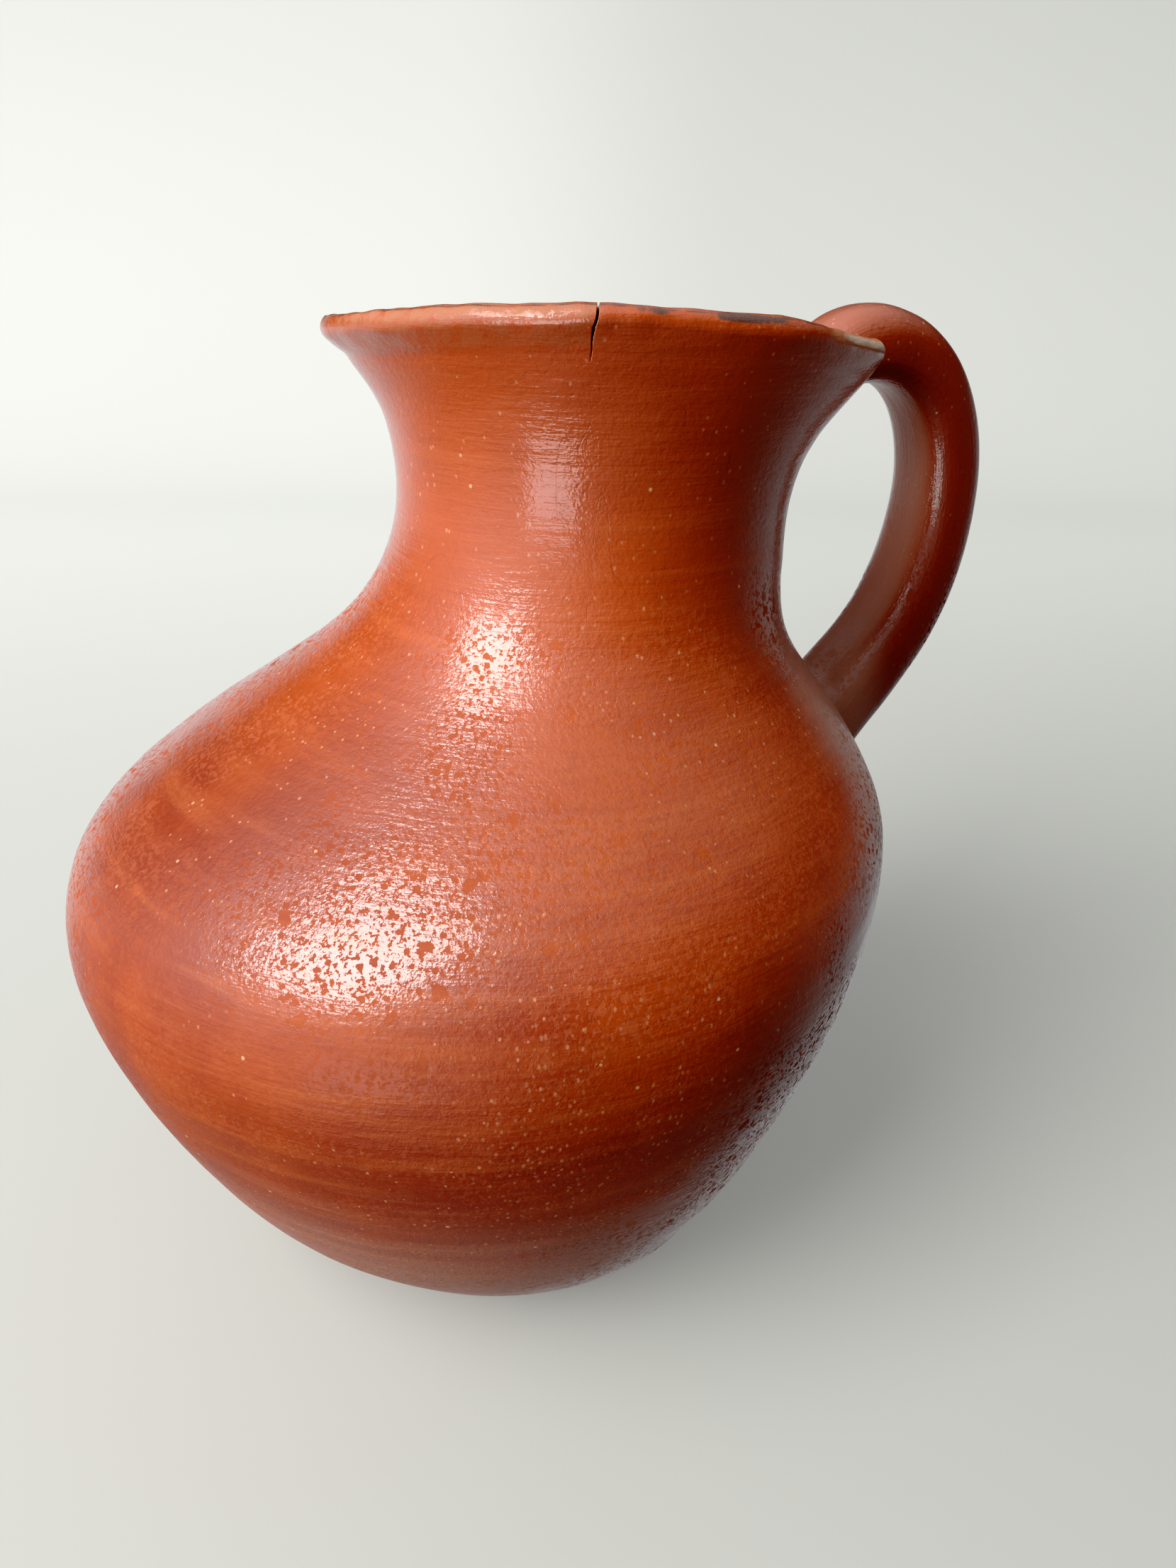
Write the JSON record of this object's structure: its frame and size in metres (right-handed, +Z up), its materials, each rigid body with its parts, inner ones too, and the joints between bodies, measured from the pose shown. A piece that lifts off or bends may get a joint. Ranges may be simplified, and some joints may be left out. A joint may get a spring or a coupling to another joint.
{
  "type": "pitcher",
  "caption": "Small hand-built clay pitcher with an uneven belly, off-centre neck, flared open mouth and one looped side handle.",
  "frame": {"origin": "on the surface the pitcher stands on, under the middle of the whole pitcher's box", "axes": "+Z up, +X towards the handle, so the belly's bulge is towards -X and Y is across the handle"},
  "size_m": [0.163, 0.1298, 0.1547],
  "materials": {
    "burnished_slip": "red iron slip rubbed to a soft gloss, unglazed, with fine pits and rubbing marks",
    "worn_slip": "the same slip worn duller and paler on the lip and the foot, with dark stains"
  },
  "bodies": {
    "root": {"base_pad": "worn_slip", "lower_wall": "burnished_slip", "belly_band": "burnished_slip", "upper_belly_band": "burnished_slip", "shoulder_band": "burnished_slip", "neck_band": "burnished_slip", "mouth_flare": "burnished_slip", "lip_coil": "worn_slip", "handle": "burnished_slip", "upper_lute": "burnished_slip", "lower_lute": "burnished_slip"}
  },
  "joints": []
}
